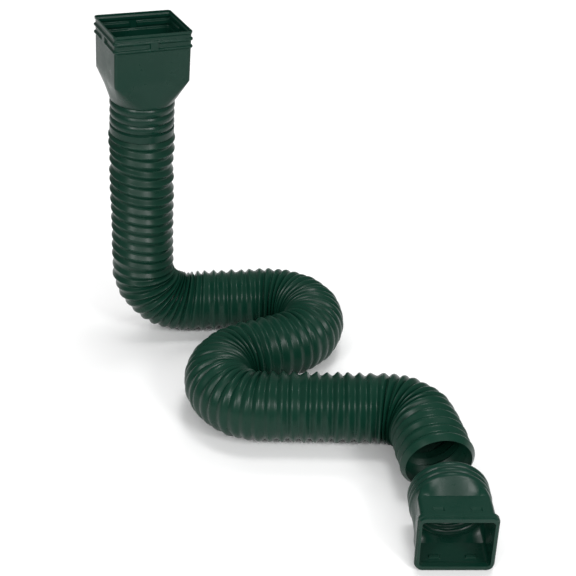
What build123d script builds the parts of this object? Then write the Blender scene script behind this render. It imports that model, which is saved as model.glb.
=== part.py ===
# Flexible downspout extension: a corrugated hose bent to its laid shape, with a rectangular inlet
# adapter screwed over its upright end and an outlet adapter lying in front of its open end.
# Millimetres, +Z up. The origin ends at the middle of the footprint, on the ground.
import math
import os

from build123d import *

# Hose section: a zigzag wall whose flanks keep one length while the spacing changes.
CREST_RADIUS = 46.5
FLANK = 9.3
HOSE_WALL = 1.4
RUN_PITCH = 14.2
UPRIGHT_PITCH = 14.85
STRETCHED_PITCH = 16.9
FOLD_LEAN = 8.0
FOLD_FADE = 40.0
FOLD_LEAN_REACH = 150.0

# Hose route, from the inlet adapter down to the ground and along it.
LEAN_SIDE = 3.4
LEAN_FRONT = 0.4
UPRIGHT = 215.5
FOOT_RADIUS = 63.4
FIRST_HEADING = 4.6
FIRST_RUN = 116.8
RIGHT_TURN = 160.4
RIGHT_RADIUS = 69.3
MIDDLE_RUN = 58.0
LEFT_TURN = 154.1
LEFT_RADIUS = 64.7
THIRD_RUN = 156.5
END_TURN = 81.1
END_BEND = 50.9
END_RUN = 68.0
END_DROOP = 8.8
END_BAND = 6.0
END_RADIUS = 41.7
EASE = 26.0
SETTLE = 40.0

# Threaded necks: the folds held inside are squeezed to pass the thread.
WALL = 1.8
THREAD_HEIGHT = 1.6
FOLD_FIT = 0.3
FOLDS_HELD = 3
RIB_TOP = 0.5
RIB_FOOT = 0.84

# Inlet adapter, measured up from the lower end of its neck.
INLET_LEAN_SIDE = 5.4
INLET_LEAN_FRONT = 4.6
INLET_YAW = 26.9
INLET_NECK_RADIUS = 44.6
INLET_RIB_PITCH = 12.6
INLET_FIRST_RIB = 17.3
INLET_RIBS = 3
INLET_BAND = 9.5
INLET_THROAT_RADIUS = 44.8
INLET_NECK = 51.0
INLET_FLOOR = 83.8
INLET_HEIGHT = 153.0
INLET_WIDTH = 104.8
INLET_DEPTH = 81.0
INLET_CORNER = 3.6
INLET_FLAT_ANGLE = 50.0
RIM_FLARE = 1.2
RIM_BAND = 2.5
BEAD_DROP = 10.8
BEAD_SPACING = 10.1
BEAD_RISE = 2.2
BEAD_TOP = 1.6
BEAD_FOOT = 5.0
BRIDGE = 10.0

# Outlet adapter, measured forward from the rear end of its neck.
OUTLET_AHEAD = 50.7
OUTLET_ASIDE = 3.6
OUTLET_NECK_RADIUS = 47.5
OUTLET_RIB_PITCH = 8.8
OUTLET_FIRST_RIB = 4.2
OUTLET_RIBS = 3
OUTLET_NECK = 26.0
OUTLET_SHOULDER = 12.5
OUTLET_LENGTH = 77.5
OUTLET_SIDE_ANGLE = 72.0
OUTLET_TOP_ANGLE = 100.0
BODY_WIDTH = 83.1
BODY_HEIGHT = 72.6
BODY_CORNER = 6.0
FLANGE_RISE = 3.3
FLANGE_BAND = 5.2
FLANGE_RAMP = 1.0
LIP_BAND = 3.5
LIP_DROP = 1.8
LIP_THICKNESS = 5.6
DIMPLE_WIDTH = 13.0
DIMPLE_LENGTH = 6.5
DIMPLE_DEPTH = 1.0
DIMPLE_SPREAD = 41.5
DIMPLE_BACK = 9.0

STEP = 1.0


# Unit vector that leans from upright by two angles, to +X and to -Y.
def leaning(side, front):
    x = math.sin(math.radians(side))
    y = -math.sin(math.radians(front))
    return Vector(x, y, math.sqrt(1 - x * x - y * y))


INLET_AXIS = leaning(INLET_LEAN_SIDE, INLET_LEAN_FRONT)
HELD_LENGTH = FOLDS_HELD * RUN_PITCH
HELD_RADIUS = INLET_NECK_RADIUS - THREAD_HEIGHT - WALL - FOLD_FIT
BODY_OFFSET = BODY_HEIGHT / 2 + FLANGE_RISE - OUTLET_NECK_RADIUS


# Route of the hose

# Carry the route straight on.
def run(route, length):
    count = round(length / STEP)
    for _ in range(count):
        point, ahead = route[-1]
        route.append((point + ahead * (length / count), ahead))


# Carry the route round an arc, turning left about the given direction.
def bend(route, angle, radius, about):
    length = math.radians(abs(angle)) * radius
    count = round(length / STEP)
    for _ in range(count):
        point, ahead = route[-1]
        turned = ahead.rotate(Axis((0, 0, 0), about), angle / count)
        route.append((point + (ahead + turned) * (length / count / 2), turned))


# Carry the route round an arc until it points along the target.
def turn_to(route, target, radius):
    ahead = route[-1][1]
    bend(route, ahead.get_angle(target), radius, ahead.cross(target))


# Centre line as (point, direction) samples, with its ground runs at the crest radius.
def lay_route():
    first_heading = Vector(1, 0, 0).rotate(Axis.Z, FIRST_HEADING)
    upright = leaning(LEAN_SIDE, LEAN_FRONT)
    settle_radius = SETTLE / math.radians(INLET_AXIS.get_angle(upright))
    route = [(Vector(0, 0, 0), -INLET_AXIS)]
    run(route, HELD_LENGTH + EASE)
    turn_to(route, -upright, settle_radius)
    run(route, UPRIGHT - EASE - SETTLE)
    turn_to(route, first_heading, FOOT_RADIUS)
    run(route, FIRST_RUN)
    bend(route, -RIGHT_TURN, RIGHT_RADIUS, (0, 0, 1))
    run(route, MIDDLE_RUN)
    bend(route, LEFT_TURN, LEFT_RADIUS, (0, 0, 1))
    run(route, THIRD_RUN)
    bend(route, -END_TURN, END_BEND, (0, 0, 1))
    run(route, END_RUN)
    rise = Vector(0, 0, CREST_RADIUS - route[-1][0].Z)
    return [(point + rise, ahead) for point, ahead in route]


# Smoothed direction at a sample and the change of direction per millimetre there.
def eased(route, index):
    reach = round(EASE / STEP)
    last = len(route) - 1
    near = [route[min(max(i, 0), last)][1] for i in range(index - reach, index + reach + 1)]
    total = Vector(0, 0, 0)
    for ahead in near:
        total += ahead
    return total.normalized(), (near[-1] - near[0]) / (2 * EASE)


# Hose

# Plane across the route at a place, its direction, and the bending of the route there.
def section(route, place):
    length = (len(route) - 1) * STEP
    index = min(round(place / STEP), len(route) - 1)
    centre = route[index][0] + route[index][1] * (place - index * STEP)
    ahead, curve = eased(route, index)
    droop = END_DROOP * max(0.0, 1 - (length - place) / (2 * CREST_RADIUS)) ** 2
    if droop:
        ahead = ahead.rotate(Axis((0, 0, 0), ahead.cross(Vector(0, 0, -1))), droop)
    return centre, ahead.rotate(Axis.Y, fold_lean(place)), curve


# Circles of the outer surface, root and crest in turn and the open end last, as (plane, radius).
def hose_rings(route):
    length = (len(route) - 1) * STEP
    rings = []
    across = Vector(0, -1, 0)
    place = 0.0
    while place <= length:
        centre, ahead, curve = section(route, place)
        across = (across - ahead * across.dot(ahead)).normalized()
        if place == length:
            rings.append((Plane(centre, across, ahead), END_RADIUS))
            break
        bending = CREST_RADIUS * curve.length
        upright = HELD_LENGTH < place < HELD_LENGTH + UPRIGHT
        pitch = min(UPRIGHT_PITCH if upright else RUN_PITCH, STRETCHED_PITCH / (1 + bending))
        top = HELD_RADIUS if place < HELD_LENGTH else CREST_RADIUS
        crest = len(rings) % 2 == 1
        if crest:
            rings.append((Plane(centre, across, ahead), top))
        else:
            outer_depth = fold_depth(pitch * (1 + bending) / 2)
            inner_depth = fold_depth(pitch * (1 - bending) / 2)
            if curve.length:
                centre = centre - curve.normalized() * ((inner_depth - outer_depth) / 2)
            rings.append((Plane(centre, across, ahead), top - (outer_depth + inner_depth) / 2))
        last_crest = crest and place + pitch > length - END_BAND
        place = length if last_crest else place + pitch / 2
    return rings


# Depth of a fold whose flanks span half the spacing each.
def fold_depth(half_spacing):
    return math.sqrt(FLANK ** 2 - half_spacing ** 2)


# Turn of a fold about Y against the centre line: on the upright stretch and round the foot.
def fold_lean(place):
    grown = (place - HELD_LENGTH) / FOLD_FADE
    left = (HELD_LENGTH + UPRIGHT + FOLD_LEAN_REACH - place) / FOLD_FADE
    return FOLD_LEAN * max(0.0, min(1.0, grown, left))


# Ruled faces from each wire to the next, without the lids of the lofts.
def skin(wires):
    faces = []
    for pair in zip(wires, wires[1:]):
        band = Solid.make_loft(pair, True)
        lid_edges = len(pair[0].edges())
        faces += [face for face in band.faces() if len(face.edges()) != lid_edges]
    return faces


# Thin-walled tube between two ruled skins, closed by a flat ring at both ends.
def shell(outer_wires, inner_wires):
    faces = skin(outer_wires) + skin(inner_wires)
    for end in (0, -1):
        faces.append(Face(outer_wires[end], [inner_wires[end]]))
    return Solid(Shell(faces))


# Corrugated hose with annular folds, open at both ends.
def flexible_hose(route):
    rings = hose_rings(route)
    outer = [plane * Wire([Edge.make_circle(radius)]) for plane, radius in rings]
    inner = [plane * Wire([Edge.make_circle(radius - HOSE_WALL)]) for plane, radius in rings]
    return shell(outer, inner)


# Sections of the adapters

# Circle split into four flats and four corners, to match a square section. The flats are given
# as two angles, for the sides and for the top and bottom.
def round_wire(height, radius, flats):
    corner = 90 - sum(flats) / 2
    edges = []
    for quarter in range(4):
        flat = flats[quarter % 2]
        start = 90 * quarter - flat / 2
        for first, span in ((start, flat), (start + flat, corner)):
            edges.append(Edge.make_circle(radius, Plane.XY, first, first + span))
    return Pos(0, 0, height) * Wire(edges)


# Rectangle with rounded corners, cut into the same eight edges.
def square_wire(height, width, depth, corner, offset=0.0):
    edges = []
    for quarter in range(4):
        reach, side = ((width, depth), (depth, width))[quarter % 2]
        turn = Rot(0, 0, 90 * quarter)
        flat = side / 2 - corner
        edges.append(turn * Edge.make_line((reach / 2, -flat), (reach / 2, flat)))
        arc = Pos(reach / 2 - corner, flat) * Edge.make_circle(corner, Plane.XY, 0, 90)
        edges.append(turn * arc)
    return Pos(0, offset, height) * Wire(edges)


# Points (height, radius) of the thread ribs, which stand on a lower root.
def neck_profile(first, pitch, count, radius):
    root = radius - THREAD_HEIGHT
    points = []
    for number in range(count):
        middle = first + number * pitch
        points.append((middle - pitch * RIB_FOOT / 2, root))
        points.append((middle - pitch * RIB_TOP / 2, radius))
        points.append((middle + pitch * RIB_TOP / 2, radius))
        points.append((middle + pitch * RIB_FOOT / 2, root))
    return points


# Inlet adapter

# Heights and outward offsets of the box wall, from the floor of the box to its rim.
def inlet_profile():
    points = [(INLET_FLOOR, 0.0)]
    for bead in (1, 0):
        middle = INLET_HEIGHT - BEAD_DROP - bead * BEAD_SPACING
        points.append((middle - BEAD_FOOT / 2, 0.0))
        points.append((middle - BEAD_TOP / 2, BEAD_RISE))
        points.append((middle + BEAD_TOP / 2, BEAD_RISE))
        points.append((middle + BEAD_FOOT / 2, 0.0))
    points.append((INLET_HEIGHT - 2 * RIM_BAND, 0.0))
    points.append((INLET_HEIGHT - RIM_BAND, RIM_FLARE))
    points.append((INLET_HEIGHT, RIM_FLARE))
    return points


# Sections of one skin of the inlet adapter, moved inward by the inset.
def inlet_wires(inset):
    neck = [(0, INLET_NECK_RADIUS), (INLET_BAND, INLET_NECK_RADIUS)]
    neck += neck_profile(INLET_FIRST_RIB, INLET_RIB_PITCH, INLET_RIBS, INLET_NECK_RADIUS)
    neck.append((INLET_NECK, INLET_THROAT_RADIUS))
    flats = (INLET_FLAT_ANGLE, INLET_FLAT_ANGLE)
    wires = [round_wire(height, radius - inset, flats) for height, radius in neck]
    for height, offset in inlet_profile():
        grow = 2 * (offset - inset)
        corner = INLET_CORNER + offset - inset
        wires.append(square_wire(height, INLET_WIDTH + grow, INLET_DEPTH + grow, corner))
    return wires


# Blocks across the middle of each side of the box that join its two beads.
def bridge_blocks(inset, narrowing):
    middle = INLET_HEIGHT - BEAD_DROP - BEAD_SPACING / 2
    blocks = []
    for angle, reach in ((0, INLET_WIDTH), (90, INLET_DEPTH)):
        span = reach + 2 * (BEAD_RISE - inset)
        block = Box(span, BRIDGE - 2 * narrowing, BEAD_SPACING)
        blocks.append(Pos(0, 0, middle) * Rot(0, 0, angle) * block)
    return blocks


# Rectangular socket over a square-to-round funnel and a threaded neck.
def inlet_adapter():
    body = shell(inlet_wires(0), inlet_wires(WALL))
    cavity = Solid.make_loft(inlet_wires(WALL), True)
    for block in bridge_blocks(0, 0):
        body += block - cavity
    for block in bridge_blocks(WALL, WALL):
        body -= block
    return body.solid()


# Outlet adapter

# Sections of one skin of the outlet adapter, moved inward by the inset.
def outlet_wires(inset):
    root = OUTLET_NECK_RADIUS - THREAD_HEIGHT
    neck = [(0, root)]
    neck += neck_profile(OUTLET_FIRST_RIB, OUTLET_RIB_PITCH, OUTLET_RIBS, OUTLET_NECK_RADIUS)
    neck.append((OUTLET_NECK, root))
    flats = (OUTLET_SIDE_ANGLE, OUTLET_TOP_ANGLE)
    wires = [round_wire(height, radius - inset, flats) for height, radius in neck]
    front = OUTLET_LENGTH - LIP_BAND
    back = front - FLANGE_BAND
    if inset:
        lip = LIP_DROP + LIP_THICKNESS - FLANGE_RISE - inset
        steps = [(back, 0, 0), (back + lip, 0, -lip), (OUTLET_LENGTH, 0, -lip)]
    else:
        lip = FLANGE_RISE - LIP_DROP
        steps = [(back, 0, 0), (back + FLANGE_RAMP, FLANGE_RISE, FLANGE_RISE)]
        steps += [(front, FLANGE_RISE, FLANGE_RISE), (front + FLANGE_RAMP, lip, lip)]
        steps.append((OUTLET_LENGTH, lip, lip))
    for height, side, top in [(OUTLET_NECK + OUTLET_SHOULDER, 0, 0)] + steps:
        width = BODY_WIDTH + 2 * (side - inset)
        depth = BODY_HEIGHT + 2 * (top - inset)
        wires.append(square_wire(height, width, depth, BODY_CORNER + side - inset, BODY_OFFSET))
    return wires


# Threaded neck with a sloping shoulder, a flat box and a stepped flange round its mouth.
def outlet_adapter():
    body = shell(outlet_wires(0), outlet_wires(WALL))
    top = BODY_OFFSET + BODY_HEIGHT / 2
    middle = OUTLET_LENGTH - LIP_BAND - FLANGE_BAND - DIMPLE_BACK
    for side in (-1, 1):
        dimple = Box(DIMPLE_WIDTH, 2 * DIMPLE_DEPTH, DIMPLE_LENGTH)
        body -= Pos(side * DIMPLE_SPREAD / 2, top, middle) * dimple
    return body.solid()


# Assembly

# Frame of the inlet adapter: its neck ends where the held folds end.
def inlet_place(route):
    neck_end = route[0][0] - INLET_AXIS * HELD_LENGTH
    across = Vector(1, 0, 0).rotate(Axis.Z, INLET_YAW)
    across = across - INLET_AXIS * across.dot(INLET_AXIS)
    return Location(Plane(neck_end, x_dir=across, z_dir=INLET_AXIS))


# Frame of the outlet adapter, which lies on the ground in front of the open end.
def outlet_place(route):
    end = route[-1][0]
    rear = Vector(end.X + OUTLET_ASIDE, end.Y - OUTLET_AHEAD, OUTLET_NECK_RADIUS)
    return Location(Plane(rear, x_dir=(1, 0, 0), z_dir=(0, -1, 0)))


# All nodes by name, with the origin moved to the bottom centre of the whole.
def build():
    route = lay_route()
    nodes = {
        "flexible_hose": flexible_hose(route),
        "inlet_adapter": inlet_place(route) * inlet_adapter(),
        "outlet_adapter": outlet_place(route) * outlet_adapter(),
    }
    box = Compound(list(nodes.values())).bounding_box()
    middle = box.center()
    to_origin = Pos(-middle.X, -middle.Y, -box.min.Z)
    return {name: to_origin * shape for name, shape in nodes.items()}


os.makedirs("parts", exist_ok=True)
for node, solid in build().items():
    export_step(solid, f"parts/{node}.step")
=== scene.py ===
import math
import random

import bmesh
import bpy
from mathutils import Matrix, Vector


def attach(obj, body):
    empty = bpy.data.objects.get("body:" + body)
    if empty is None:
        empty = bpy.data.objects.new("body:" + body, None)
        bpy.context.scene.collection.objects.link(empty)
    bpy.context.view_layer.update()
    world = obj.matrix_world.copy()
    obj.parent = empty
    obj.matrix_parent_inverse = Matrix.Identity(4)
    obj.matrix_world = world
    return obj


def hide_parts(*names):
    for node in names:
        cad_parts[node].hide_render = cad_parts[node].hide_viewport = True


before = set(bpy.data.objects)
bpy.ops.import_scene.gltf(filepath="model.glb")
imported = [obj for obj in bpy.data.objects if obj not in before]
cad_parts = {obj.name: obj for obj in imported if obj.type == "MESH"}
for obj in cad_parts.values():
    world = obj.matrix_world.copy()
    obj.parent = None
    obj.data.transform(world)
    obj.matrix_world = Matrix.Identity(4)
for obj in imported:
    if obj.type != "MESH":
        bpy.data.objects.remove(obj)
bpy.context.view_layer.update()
print("frame loaded")

# Pieces and camera are given in millimetres, the floor and the lights in metres
mm = 0.001
upward = Vector((0, 0, 1))


def leaning(side, front):
    # unit vector that leans from upright by two angles, to +X and to -Y
    x = math.sin(math.radians(side))
    y = -math.sin(math.radians(front))
    return Vector((x, y, math.sqrt(1 - x * x - y * y)))


def smooth(x):
    x = min(max(x, 0.0), 1.0)
    return x * x * (3 - 2 * x)


def spread(low, high, step):
    count = max(1, round((high - low) / step))
    return [low + (high - low) * i / count for i in range(count + 1)]


# Mesh helpers

def makeObject(name, mesh, material):
    mesh.materials.append(material)
    obj = bpy.data.objects.new(name, mesh)
    bpy.context.collection.objects.link(obj)
    return obj


def ringSkin(name, rings, material, crease):
    # closed skin: a grid is laid over the rings, its last row and column on the first, and welded there
    around = len(rings[0])
    bm = bmesh.new()
    bmesh.ops.create_grid(bm, x_segments=len(rings), y_segments=around, size=1.0)
    for vert in bm.verts:
        row = round((vert.co.x + 1) / 2 * len(rings)) % len(rings)
        column = round((vert.co.y + 1) / 2 * around) % around
        vert.co = rings[row][column] * mm
    bmesh.ops.remove_doubles(bm, verts=bm.verts, dist=1e-7)
    bmesh.ops.recalc_face_normals(bm, faces=bm.faces)
    mesh = bpy.data.meshes.new(name)
    bm.to_mesh(mesh)
    bm.free()
    mesh.shade_smooth()
    mesh.set_sharp_from_angle(angle=math.radians(crease))
    return makeObject(name, mesh, material)


# Moulded plastic, one group for both materials

plasticValues = {
    "cloud": {"Scale": 14.0, "Detail": 3.0, "Roughness": 0.5},
    "smear": {"Scale": 60.0, "Detail": 4.0, "Roughness": 0.6},
    "grain": {"Scale": 900.0, "Detail": 2.0, "Roughness": 0.5},
    "noiseRange": (0.3, 0.7),
    "cloudMix": (0.0, 0.5),
    "roughnessChange": (-0.05, 0.07),
    "smearHeight": 2.0,
    "bumpDistance": 0.0001,
    "refraction": 1.49,
}


def newGroup(name, inputs, outputs):
    group = bpy.data.node_groups.new(name, "ShaderNodeTree")
    for label, kind, value in inputs:
        socket = group.interface.new_socket(label, in_out="INPUT", socket_type=kind)
        socket.default_value = value
    for label, kind in outputs:
        group.interface.new_socket(label, in_out="OUTPUT", socket_type=kind)
    return group


def addNoise(nodes, links, coords, settings):
    noise = nodes.new("ShaderNodeTexNoise")
    for label, value in settings.items():
        noise.inputs[label].default_value = value
    links.new(coords, noise.inputs["Vector"])
    return noise.outputs["Fac"]


def remap(nodes, links, value, source, target):
    node = nodes.new("ShaderNodeMapRange")
    node.inputs["From Min"].default_value, node.inputs["From Max"].default_value = source
    node.inputs["To Min"].default_value, node.inputs["To Max"].default_value = target
    links.new(value, node.inputs["Value"])
    return node.outputs["Result"]


def addMath(nodes, links, operation, values):
    # values are sockets or numbers
    node = nodes.new("ShaderNodeMath")
    node.operation = operation
    for socket, value in zip(node.inputs, values):
        if isinstance(value, float):
            socket.default_value = value
        else:
            links.new(value, socket)
    return node.outputs[0]


def buildPlasticGroup(v):
    inputs = [
        ("Color", "NodeSocketColor", (0.02, 0.05, 0.04, 1)),
        ("Sheen Color", "NodeSocketColor", (0.05, 0.08, 0.07, 1)),
        ("Base Roughness", "NodeSocketFloat", 0.4),
    ]
    outputs = [
        ("Color", "NodeSocketColor"),
        ("Roughness", "NodeSocketFloat"),
        ("Height", "NodeSocketFloat"),
    ]
    group = newGroup("mouldedPlastic", inputs, outputs)
    nodes, links = group.nodes, group.links
    source = nodes.new("NodeGroupInput")
    result = nodes.new("NodeGroupOutput")
    coords = nodes.new("ShaderNodeTexCoord").outputs["Object"]
    cloud = addNoise(nodes, links, coords, v["cloud"])
    grain = addNoise(nodes, links, coords, v["grain"])
    smear = addNoise(nodes, links, coords, v["smear"])
    mix = nodes.new("ShaderNodeMix")
    mix.data_type = "RGBA"
    links.new(remap(nodes, links, cloud, v["noiseRange"], v["cloudMix"]), mix.inputs["Factor"])
    links.new(source.outputs["Color"], mix.inputs["A"])
    links.new(source.outputs["Sheen Color"], mix.inputs["B"])
    links.new(mix.outputs["Result"], result.inputs["Color"])
    change = remap(nodes, links, smear, v["noiseRange"], v["roughnessChange"])
    roughness = addMath(nodes, links, "ADD", (source.outputs["Base Roughness"], change))
    links.new(roughness, result.inputs["Roughness"])
    height = addMath(nodes, links, "MULTIPLY_ADD", (smear, v["smearHeight"], grain))
    links.new(height, result.inputs["Height"])
    return group


plasticGroup = buildPlasticGroup(plasticValues)


def plastic(name, values):
    material = bpy.data.materials.new(name)
    material.use_nodes = True
    nodes, links = material.node_tree.nodes, material.node_tree.links
    shader = nodes["Principled BSDF"]
    group = nodes.new("ShaderNodeGroup")
    group.node_tree = plasticGroup
    group.inputs["Color"].default_value = values["color"] + (1,)
    group.inputs["Sheen Color"].default_value = values["sheen"] + (1,)
    group.inputs["Base Roughness"].default_value = values["roughness"]
    bump = nodes.new("ShaderNodeBump")
    bump.inputs["Strength"].default_value = values["bump"]
    bump.inputs["Distance"].default_value = plasticValues["bumpDistance"]
    links.new(group.outputs["Color"], shader.inputs["Base Color"])
    links.new(group.outputs["Roughness"], shader.inputs["Roughness"])
    links.new(group.outputs["Height"], bump.inputs["Height"])
    links.new(bump.outputs["Normal"], shader.inputs["Normal"])
    shader.inputs["IOR"].default_value = plasticValues["refraction"]
    shader.inputs["Specular IOR Level"].default_value = values["specular"]
    return material


hosePlastic = plastic("hosePlastic", {
    "color": (0.0025, 0.0250, 0.0148),
    "sheen": (0.0042, 0.0322, 0.0198),
    "roughness": 0.31,
    "specular": 0.19,
    "bump": 0.35,
})
adapterPlastic = plastic("adapterPlastic", {
    "color": (0.0018, 0.0230, 0.0142),
    "sheen": (0.0035, 0.0296, 0.0186),
    "roughness": 0.30,
    "specular": 0.23,
    "bump": 0.45,
})
print("materials ready")


# Route of the hose, from the inlet adapter down to the ground and along it

routeValues = {
    "start": (-183.557, 215.466, 370.746),
    "step": 1.0,
    "heldLength": 42.6,
    "leanSide": 3.4,
    "leanFront": 0.4,
    "upright": 215.5,
    "footRadius": 63.4,
    "firstHeading": 4.6,
    "firstRun": 116.8,
    "rightTurn": 160.4,
    "rightRadius": 69.3,
    "middleRun": 58.0,
    "leftTurn": 154.1,
    "leftRadius": 64.7,
    "thirdRun": 156.5,
    "endTurn": 81.1,
    "endRadius": 50.9,
    "endRun": 68.0,
    "ease": 26.0,
    "settle": 40.0,
}
inletAxis = leaning(5.4, 4.6)


def layRoute(v):
    # steps of equal length: (point, direction)
    route = [(Vector(v["start"]), -inletAxis)]

    def go(length, angle=0.0, about=upward):
        count = round(length / v["step"])
        turn = Matrix.Rotation(math.radians(angle) / count, 3, about)
        for _ in range(count):
            point, ahead = route[-1]
            turned = (turn @ ahead).normalized()
            route.append((point + (ahead + turned) * (length / count / 2), turned))

    def turnTo(target, length):
        ahead = route[-1][1]
        go(length, math.degrees(ahead.angle(target)), ahead.cross(target).normalized())

    upright = leaning(v["leanSide"], v["leanFront"])
    heading = Matrix.Rotation(math.radians(v["firstHeading"]), 3, "Z") @ Vector((1, 0, 0))
    go(v["heldLength"] + v["ease"])
    turnTo(-upright, v["settle"])
    go(v["upright"] - v["ease"] - v["settle"])
    turnTo(heading, (-upright).angle(heading) * v["footRadius"])
    go(v["firstRun"])
    go(math.radians(v["rightTurn"]) * v["rightRadius"], -v["rightTurn"])
    go(v["middleRun"])
    go(math.radians(v["leftTurn"]) * v["leftRadius"], v["leftTurn"])
    go(v["thirdRun"])
    go(math.radians(v["endTurn"]) * v["endRadius"], -v["endTurn"])
    go(v["endRun"])
    return route


# Hose

hoseValues = {
    "crestRadius": 46.5,
    "heldRadius": 40.9,
    "flank": 9.3,
    "wall": 1.4,
    "runPitch": 14.2,
    "uprightPitch": 14.85,
    "stretchedPitch": 16.9,
    "foldLean": 8.0,
    "foldFade": 40.0,
    "foldLeanReach": 150.0,
    "endDroop": 8.8,
    "endBand": 6.0,
    "endRadius": 41.7,
    "endInset": 0.5,
    "segments": 80,
    "crease": 40,
    # shares of a flank for straight laid, upright and bent stretches, and points along a rounding
    "crestRounding": (0.24, 0.16, 0.60),
    "rootRounding": (0.24, 0.22, 0.10),
    "crestSteps": (0.0, 0.25, 0.5, 0.75, 1.0),
    "rootSteps": (0.0, 0.33, 0.67, 1.0),
    "bentFrom": 0.05,
    "bentOver": 0.12,
    # a handled hose: angle, depth and shift of a crest, after the folds that sit in the adapter
    "evenStations": 7,
    "unevenLean": 2.4,
    "unevenDepth": 1.3,
    "unevenPlace": 0.8,
    "seed": 7,
}


def foldLean(place, rv, v):
    # turn of a fold about Y against the route: on the upright stretch and round the foot
    grown = (place - rv["heldLength"]) / v["foldFade"]
    left = (rv["heldLength"] + rv["upright"] + v["foldLeanReach"] - place) / v["foldFade"]
    return v["foldLean"] * max(0.0, min(1.0, grown, left))


def foldStations(route, rv, v):
    # root and crest circles in turn: (centre, direction, across, radius, is a crest)
    reach = round(rv["ease"] / rv["step"])
    last = len(route) - 1
    length = last * rv["step"]
    across = Vector((0, -1, 0))
    stations = []
    place = 0.0
    while place <= length:
        index = min(round(place / rv["step"]), last)
        near = [route[min(max(i, 0), last)][1] for i in range(index - reach, index + reach + 1)]
        ahead = sum(near, Vector()).normalized()
        curve = (near[-1] - near[0]) / (2 * rv["ease"])
        bending = v["crestRadius"] * curve.length
        droop = v["endDroop"] * max(0.0, 1 - (length - place) / (2 * v["crestRadius"])) ** 2
        if droop:
            ahead = Matrix.Rotation(math.radians(droop), 3, ahead.cross(-upward).normalized()) @ ahead
        ahead = Matrix.Rotation(math.radians(foldLean(place, rv, v)), 3, "Y") @ ahead
        across = (across - ahead * across.dot(ahead)).normalized()
        centre = route[index][0] + route[index][1] * (place - index * rv["step"])
        if place == length:
            stations.append((centre, ahead, across, v["endRadius"], False))
            break
        upright = rv["heldLength"] < place < rv["heldLength"] + rv["upright"]
        pitch = min(v["uprightPitch"] if upright else v["runPitch"], v["stretchedPitch"] / (1 + bending))
        outerDepth = math.sqrt(v["flank"] ** 2 - (pitch * (1 + bending) / 2) ** 2)
        innerDepth = math.sqrt(v["flank"] ** 2 - (pitch * (1 - bending) / 2) ** 2)
        crest = len(stations) % 2 == 1
        radius = v["heldRadius"] if place < rv["heldLength"] else v["crestRadius"]
        if not crest:
            radius -= (outerDepth + innerDepth) / 2
            if curve.length > 1e-9:
                centre = centre - curve.normalized() * ((innerDepth - outerDepth) / 2)
        stations.append((centre, ahead, across, radius, crest))
        lastCrest = crest and place + pitch > length - v["endBand"]
        place = length if lastCrest else place + pitch / 2
    return stations


def uneven(stations, v):
    # crests set a little askew and a little shallower than drawn, as a handled hose shows
    chance = random.Random(v["seed"])
    result = []
    for k, (centre, ahead, across, radius, crest) in enumerate(stations):
        if crest and v["evenStations"] <= k < len(stations) - 2:
            side = ahead.cross(across)
            axis = (across * chance.uniform(-1, 1) + side * chance.uniform(-1, 1)).normalized()
            turn = Matrix.Rotation(math.radians(chance.uniform(-1, 1) * v["unevenLean"]), 3, axis)
            ahead = turn @ ahead
            across = turn @ across
            radius -= chance.uniform(0, 1) * v["unevenDepth"]
            centre = centre + ahead * (chance.uniform(-1, 1) * v["unevenPlace"])
        result.append((centre, ahead, across, radius, crest))
    return result


def circlePoints(station, inset, count):
    centre, ahead, across, radius, _ = station
    side = ahead.cross(across)
    points = []
    for i in range(count):
        angle = 2 * math.pi * i / count
        points.append(centre + (across * math.cos(angle) + side * math.sin(angle)) * (radius - inset))
    return points


def blendRings(a, b, share):
    return [p.lerp(q, share) for p, q in zip(a, b)]


def rounding(stations, k, v):
    # share of a flank taken by the rounding of a crest or root
    laid, upright, bent = v["crestRounding"] if stations[k][4] else v["rootRounding"]
    turn = stations[k - 1][1].angle(stations[k + 1][1])
    share = laid + (bent - laid) * smooth((turn - v["bentFrom"]) / v["bentOver"])
    return share + (upright - share) * stations[k][1].z ** 2


def lifted(before, crest, after, share):
    # apex of the flanks' lines whose rounded top comes out at the crest's own circle
    three = zip(before, crest, after)
    return [(p - (a + b) * (share / 4)) / (1 - share / 2) for a, p, b in three]


def hoseRings(stations, v):
    outer = [circlePoints(s, 0, v["segments"]) for s in stations]
    outer[-1] = circlePoints(stations[-1], v["endInset"], v["segments"])
    inner = [circlePoints(s, v["wall"], v["segments"]) for s in stations]
    inner[-1] = circlePoints(stations[-1], v["wall"] - v["endInset"], v["segments"])
    middle = range(1, len(stations) - 1)
    shares = {k: rounding(stations, k, v) for k in middle}
    apexes = list(outer)
    for k in middle:
        if stations[k][4]:
            apexes[k] = lifted(outer[k - 1], outer[k], outer[k + 1], shares[k])
    rings = [outer[0]]
    for k in middle:
        before = blendRings(apexes[k], apexes[k - 1], shares[k])
        after = blendRings(apexes[k], apexes[k + 1], shares[k])
        for t in v["crestSteps"] if stations[k][4] else v["rootSteps"]:
            low = blendRings(before, apexes[k], t)
            high = blendRings(apexes[k], after, t)
            rings.append(blendRings(low, high, t))
    rings.append(outer[-1])
    return rings + inner[::-1]


stations = uneven(foldStations(layRoute(routeValues), routeValues, hoseValues), hoseValues)
hose = ringSkin("hose", hoseRings(stations, hoseValues), hosePlastic, hoseValues["crease"])
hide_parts("flexible_hose")
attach(hose, "root")
print("hose ready:", len(stations), "stations")


# Sections of the adapters, round at the neck and square at the mouth, with points that match

def perimeter(stops, cornerSteps):
    # points of a section: (quarter, place along the flat or None, share of the corner)
    points = []
    for quarter in range(4):
        for stop in stops[quarter % 2]:
            points.append((quarter, stop, None))
        for i in range(1, cornerSteps):
            points.append((quarter, None, i / cornerSteps))
    return points


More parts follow.
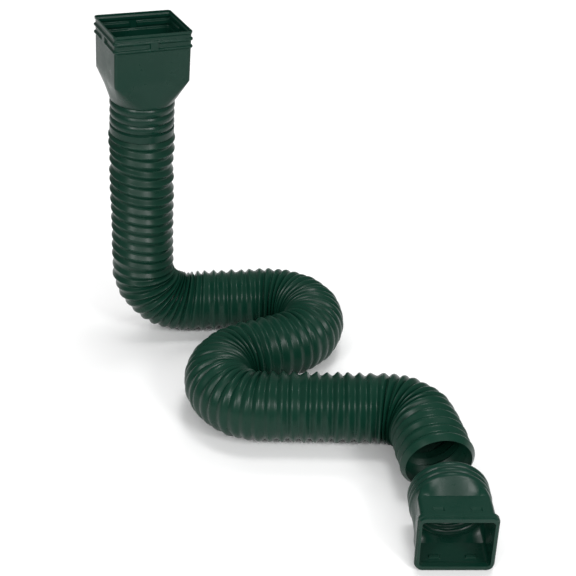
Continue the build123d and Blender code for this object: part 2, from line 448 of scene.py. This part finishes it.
def roundPoint(spot, flatAngles):
    # flats of the circle are given as two angles, for the sides and for the top and bottom
    quarter, stop, share = spot
    flat = flatAngles[quarter % 2]
    if stop is None:
        angle = 90 * quarter + flat / 2 + share * (90 - sum(flatAngles) / 2)
    else:
        angle = 90 * quarter + stop * flat / 2
    angle = math.radians(angle)
    return Vector((math.cos(angle), math.sin(angle)))


def squarePoint(spot, width, depth, corner):
    # point of a square section with rounded corners, and its outward direction
    quarter, stop, share = spot
    reach, side = ((width, depth), (depth, width))[quarter % 2]
    flat = side / 2 - corner
    if stop is None:
        angle = math.radians(90 * share)
        normal = Vector((math.cos(angle), math.sin(angle)))
        point = Vector((reach / 2 - corner, flat)) + normal * corner
    else:
        normal = Vector((1, 0))
        point = Vector((reach / 2, stop * flat))
    turn = Matrix.Rotation(math.radians(90 * quarter), 2)
    return turn @ point, turn @ normal


def bead(distance, top, foot):
    # flat bead: 1 within half the top width, 0 beyond half the foot width
    return 1 - smooth((abs(distance) - top / 2) / ((foot - top) / 2))


def rib(distance, width):
    # rounded rib: 1 on its middle line, 0 beyond half the width
    return max(0.0, 1 - (2 * distance / width) ** 2)


def threadRise(z, v):
    middles = [v["firstThread"] + i * v["threadPitch"] for i in range(v["threads"])]
    return max(rib(z - middle, v["threadWidth"]) for middle in middles)


def shellSteps(levels, wall, edge):
    # (height, inset) up the outer skin, then down the inner skin, with eased lips at both ends
    outer = [(levels[0], edge)] + [(z, 0.0) for z in levels[1:-1]] + [(levels[-1], edge)]
    inner = [(levels[-1], wall - edge)] + [(z, wall) for z in levels[-2:0:-1]] + [(levels[0], wall - edge)]
    return outer + inner


def placeRings(rings, origin, xAxis, yAxis, zAxis):
    return [[origin + xAxis * p.x + yAxis * p.y + zAxis * p.z for p in ring] for ring in rings]


# Inlet adapter, measured up from the lower end of its neck

inletValues = {
    "neckEnd": (-187.566, 218.883, 328.473),
    "yaw": 26.9,
    "wall": 1.8,
    "edge": 0.45,
    "neckRadius": 44.6,
    "neckBore": 41.3,
    "neck": 51.0,
    "threadHeight": 2.3,
    "threadPitch": 12.6,
    "firstThread": 17.3,
    "threads": 3,
    "threadWidth": 12.4,
    "band": 9.5,
    "bandRamp": 1.4,
    "throatRadius": 44.8,
    "throatRamp": 3.0,
    "floor": 83.8,
    "height": 153.0,
    "width": 104.8,
    "depth": 81.0,
    "corner": 3.6,
    "rimFlare": 1.2,
    "rimBand": 2.5,
    "beadDrop": 10.8,
    "beadSpacing": 10.1,
    "beadRise": 2.2,
    "beadTop": 1.2,
    "beadFoot": 5.6,
    "bridge": 10.0,
    "bridgeRamp": 0.8,
    "flatAngles": (50.0, 50.0),
    "cornerSteps": 16,
    # distances between rings
    "neckStep": 0.5,
    "funnelStep": 4.0,
    "wallStep": 8.0,
    "rimStep": 0.45,
    "crease": 40,
}


def inletStops(v):
    stops = []
    for side in (v["depth"], v["width"]):
        flat = side / 2 - v["corner"]
        edge = v["bridge"] / 2 / flat
        ramp = v["bridgeRamp"] / flat
        half = [-1.0, -0.66, -0.33, -edge - ramp, -edge, -edge / 2]
        stops.append(half + [0.0] + [-s for s in half[::-1]])
    return stops


def inletOffset(z, stop, side, v):
    # outward rise of the socket's wall: two beads joined by a bridge, and the rim
    upper = v["height"] - v["beadDrop"]
    lower = upper - v["beadSpacing"]
    rise = max(bead(z - middle, v["beadTop"], v["beadFoot"]) for middle in (lower, upper))
    if stop is not None and lower < z < upper:
        across = abs(stop) * (side / 2 - v["corner"])
        rise = max(rise, 1 - smooth((across - v["bridge"] / 2) / v["bridgeRamp"]))
    flare = smooth((z - v["height"] + 2 * v["rimBand"]) / v["rimBand"])
    return v["beadRise"] * rise + v["rimFlare"] * flare


def inletNeckRadius(z, inset, v):
    # plain band below, ribs above it and the throat at the top; the bore stays wide enough for the hose
    rise = max(1 - smooth((z - v["band"]) / v["bandRamp"]), threadRise(z, v))
    radius = v["neckRadius"] - v["threadHeight"] * (1 - rise)
    top = smooth((z - v["neck"] + v["throatRamp"]) / v["throatRamp"])
    radius = max(radius, v["throatRadius"] * top + radius * (1 - top))
    if inset > v["wall"] / 2:
        radius = max(radius, v["neckBore"] + inset)
    return radius


def inletRing(z, inset, spots, v):
    blend = min(max((z - v["neck"]) / (v["floor"] - v["neck"]), 0.0), 1.0)
    radius = inletNeckRadius(z, inset, v) if z <= v["neck"] else v["throatRadius"]
    ring = []
    for spot in spots:
        direction = roundPoint(spot, v["flatAngles"])
        if blend <= 0:
            flat = direction * (radius - inset)
        else:
            square, normal = squarePoint(spot, v["width"], v["depth"], v["corner"])
            side = (v["depth"], v["width"])[spot[0] % 2]
            tilt = direction.lerp(normal, blend).normalized()
            offset = inletOffset(z, spot[1], side, v) - inset
            flat = (direction * radius).lerp(square, blend) + tilt * offset
        ring.append(Vector((flat.x, flat.y, z)))
    return ring


def inletLevels(v):
    fine = v["height"] - v["beadDrop"] - v["beadSpacing"] - v["funnelStep"]
    levels = spread(0.0, v["neck"], v["neckStep"])
    levels += spread(v["neck"], v["floor"], v["funnelStep"])[1:]
    levels += spread(v["floor"], fine, v["wallStep"])[1:]
    levels += spread(fine, v["height"], v["rimStep"])[1:]
    return levels


def buildInlet(v):
    spots = perimeter(inletStops(v), v["cornerSteps"])
    steps = shellSteps(inletLevels(v), v["wall"], v["edge"])
    rings = [inletRing(z, inset, spots, v) for z, inset in steps]
    yaw = math.radians(v["yaw"])
    xAxis = Vector((math.cos(yaw), math.sin(yaw), 0))
    xAxis = (xAxis - inletAxis * inletAxis.dot(xAxis)).normalized()
    placed = placeRings(rings, Vector(v["neckEnd"]), xAxis, inletAxis.cross(xAxis), inletAxis)
    return ringSkin("inletAdapter", placed, adapterPlastic, v["crease"])


inlet = buildInlet(inletValues)
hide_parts("inlet_adapter")
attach(inlet, "root")
print("inlet adapter ready")


# Outlet adapter, measured forward from the rear end of its neck

outletValues = {
    "rear": (200.702, -208.062, 47.5),
    "wall": 1.8,
    "edge": 0.5,
    "neckRadius": 47.5,
    "neck": 26.0,
    "threadHeight": 2.2,
    "threadPitch": 8.8,
    "firstThread": 4.2,
    "threads": 3,
    "threadWidth": 8.4,
    "shoulder": 12.5,
    "shoulderLift": 1.0,
    "length": 77.5,
    "width": 83.1,
    "height": 72.6,
    "corner": 6.0,
    "flangeRise": 3.3,
    "flangeBand": 5.2,
    "flangeRamp": 1.0,
    "lipBand": 3.5,
    "lipDrop": 1.8,
    "lipThickness": 5.6,
    "dimpleWidth": 13.0,
    "dimpleLength": 6.5,
    "dimpleDepth": 1.5,
    "dimpleRamp": 2.6,
    "dimpleEdge": 0.9,
    "dimpleSpread": 41.5,
    "dimpleBack": 9.0,
    "flatAngles": (72.0, 100.0),
    "cornerSteps": 8,
    # distances between points of a side and between rings
    "sideStep": 0.125,
    "neckStep": 0.4,
    "creaseStep": 0.3,
    "shoulderStep": 1.2,
    "boxStep": 3.0,
    "mouthStep": 0.3,
    "crease": 22,
}


def mouthLevels(v):
    # where the flange starts and ends, and the middle of the dimples
    front = v["length"] - v["lipBand"]
    back = front - v["flangeBand"]
    return back, front, back - v["dimpleBack"]


def outletStops(v):
    flat = v["width"] / 2 - v["corner"]
    near = (v["dimpleSpread"] - v["dimpleWidth"]) / 2
    far = (v["dimpleSpread"] + v["dimpleWidth"]) / 2
    marks = [near / 2, near, near + v["dimpleEdge"], (near + far) / 2, far - v["dimpleEdge"], far]
    marks += [(flat + far) / 2, flat]
    half = [mark / flat for mark in marks]
    return [spread(-1.0, 1.0, v["sideStep"]), [-m for m in half[::-1]] + [0.0] + half]


def dimpleAt(z, spot, v):
    # depth of a dimple, which has a sloping rear and steep edges elsewhere
    if spot[1] is None:
        return 0.0
    middle = mouthLevels(v)[2]
    across = abs(spot[1]) * (v["width"] / 2 - v["corner"])
    beside = abs(across - v["dimpleSpread"] / 2) - v["dimpleWidth"] / 2
    ahead = z - middle - v["dimpleLength"] / 2
    behind = z - middle + v["dimpleLength"] / 2
    wide = 1 - smooth((beside + v["dimpleEdge"]) / v["dimpleEdge"])
    front = 1 - smooth((ahead + v["dimpleEdge"]) / v["dimpleEdge"])
    rear = min(1.0, max(0.0, behind / v["dimpleRamp"]))
    return v["dimpleDepth"] * wide * rear * front


def outletOffset(z, spot, inset, v):
    # outward rise of the wall: (to the sides, to top and bottom)
    back, front, _ = mouthLevels(v)
    if inset > v["wall"] / 2:
        lip = v["lipDrop"] + v["lipThickness"] - v["flangeRise"] - v["wall"]
        block = dimpleAt(z, spot, v) if spot[0] == 3 else 0.0
        return 0.0, -lip * smooth((z - back) / lip) - block
    rise = v["flangeRise"] * smooth((z - back) / v["flangeRamp"])
    rise -= v["lipDrop"] * smooth((z - front) / v["flangeRamp"])
    return rise, rise - (dimpleAt(z, spot, v) if spot[0] == 1 else 0.0)


def outletRing(z, inset, spots, v):
    drop = v["height"] / 2 + v["flangeRise"] - v["neckRadius"]
    blend = min(max((z - v["neck"]) / v["shoulder"], 0.0), 1.0)
    lift = v["shoulderLift"] / v["threadHeight"] if z > v["neck"] else 0.0
    radius = v["neckRadius"] - v["threadHeight"] * (1 - max(lift, threadRise(z, v))) - inset
    ring = []
    for spot in spots:
        side, top = outletOffset(z, spot, inset, v)
        width = v["width"] + 2 * (side - inset)
        height = v["height"] + 2 * (top - inset)
        square, _ = squarePoint(spot, width, height, v["corner"] + side - inset)
        flat = (roundPoint(spot, v["flatAngles"]) * radius).lerp(square + Vector((0, drop)), blend)
        ring.append(Vector((flat.x, flat.y, z)))
    return ring


def outletLevels(v):
    back, _, middle = mouthLevels(v)
    rear = middle - v["dimpleLength"] / 2
    front = middle + v["dimpleLength"] / 2
    brow = v["neck"] + v["shoulder"]
    levels = spread(0.0, v["neck"], v["neckStep"])
    levels += spread(v["neck"] + v["creaseStep"], brow, v["shoulderStep"])
    levels += spread(brow + v["creaseStep"], rear, v["boxStep"])
    levels += [rear + v["dimpleRamp"], middle]
    levels += [front - v["dimpleEdge"], front - v["dimpleEdge"] / 2]
    levels += spread(front, back, v["boxStep"])
    levels += spread(back, v["length"], v["mouthStep"])[1:]
    return levels


def buildOutlet(v):
    spots = perimeter(outletStops(v), v["cornerSteps"])
    steps = shellSteps(outletLevels(v), v["wall"], v["edge"])
    rings = [outletRing(z, inset, spots, v) for z, inset in steps]
    placed = placeRings(rings, Vector(v["rear"]), Vector((1, 0, 0)), upward, Vector((0, -1, 0)))
    return ringSkin("outletAdapter", placed, adapterPlastic, v["crease"])


outlet = buildOutlet(outletValues)
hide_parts("outlet_adapter")
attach(outlet, "root")
print("outlet adapter ready")


# Floor

floorValues = {"reach": 15.0, "color": (0.86, 0.86, 0.86, 1), "roughness": 0.9, "specular": 0.1}


def buildFloor(v):
    bm = bmesh.new()
    bmesh.ops.create_grid(bm, x_segments=1, y_segments=1, size=v["reach"])
    mesh = bpy.data.meshes.new("floor")
    bm.to_mesh(mesh)
    bm.free()
    material = bpy.data.materials.new("floorPaper")
    material.use_nodes = True
    shader = material.node_tree.nodes["Principled BSDF"]
    shader.inputs["Base Color"].default_value = v["color"]
    shader.inputs["Roughness"].default_value = v["roughness"]
    shader.inputs["Specular IOR Level"].default_value = v["specular"]
    return makeObject("floor", mesh, material)


buildFloor(floorValues)


# Light: two softboxes, a long one in front and one above, and a panel that brightens the floor alone

lightValues = [
    {"name": "softLeft", "azimuth": -31, "elevation": 33, "distance": 2.6, "size": (0.6, 0.6), "power": 24},
    {"name": "softRight", "azimuth": 41, "elevation": 33, "distance": 2.6, "size": (0.6, 0.6), "power": 24},
    {"name": "front", "azimuth": 10, "elevation": 36, "distance": 2.6, "size": (2.2, 0.5), "power": 24},
    {"name": "top", "azimuth": 120, "elevation": 80, "distance": 2.7, "size": (0.8, 0.7), "power": 22},
]
lightAim = Vector((0, 0, 0.15))
floorLightValues = {"name": "floorLight", "place": (0, 2.3, 2.4), "size": (3.6, 2.2), "power": 72}
skyStrength = 0.28


def areaLight(v):
    data = bpy.data.lights.new(v["name"], "AREA")
    data.shape = "RECTANGLE"
    data.size, data.size_y = v["size"]
    data.energy = v["power"]
    obj = bpy.data.objects.new(v["name"], data)
    bpy.context.collection.objects.link(obj)
    return obj


def aimedLight(v):
    azimuth = math.radians(v["azimuth"])
    elevation = math.radians(v["elevation"])
    level = math.cos(elevation)
    direction = Vector((math.sin(azimuth) * level, -math.cos(azimuth) * level, math.sin(elevation)))
    obj = areaLight(v)
    obj.location = lightAim + direction * v["distance"]
    obj.rotation_euler = direction.to_track_quat("Z", "Y").to_euler()


def buildSky(strength):
    sky = bpy.data.worlds.new("studio")
    sky.use_nodes = True
    background = sky.node_tree.nodes["Background"]
    background.inputs["Color"].default_value = (1, 1, 1, 1)
    background.inputs["Strength"].default_value = strength
    bpy.context.scene.world = sky


for values in lightValues:
    aimedLight(values)
floorLight = areaLight(floorLightValues)
floorLight.location = floorLightValues["place"]
floorLight.visible_glossy = False
buildSky(skyStrength)


# Camera, fitted to the photo

cameraValues = {"place": (15.48, -1096.01, 828.43), "pitch": 29.8, "focal": 62.5, "sensor": 36.0}


def buildCamera(v):
    data = bpy.data.cameras.new("camera")
    data.sensor_fit = "HORIZONTAL"
    data.sensor_width = v["sensor"]
    data.lens = v["focal"]
    obj = bpy.data.objects.new("camera", data)
    bpy.context.collection.objects.link(obj)
    obj.location = Vector(v["place"]) * mm
    obj.rotation_euler = (math.radians(90 - v["pitch"]), 0, 0)
    return obj


bpy.context.scene.camera = buildCamera(cameraValues)
bpy.context.scene.view_settings.view_transform = "Standard"
print("stage ready")
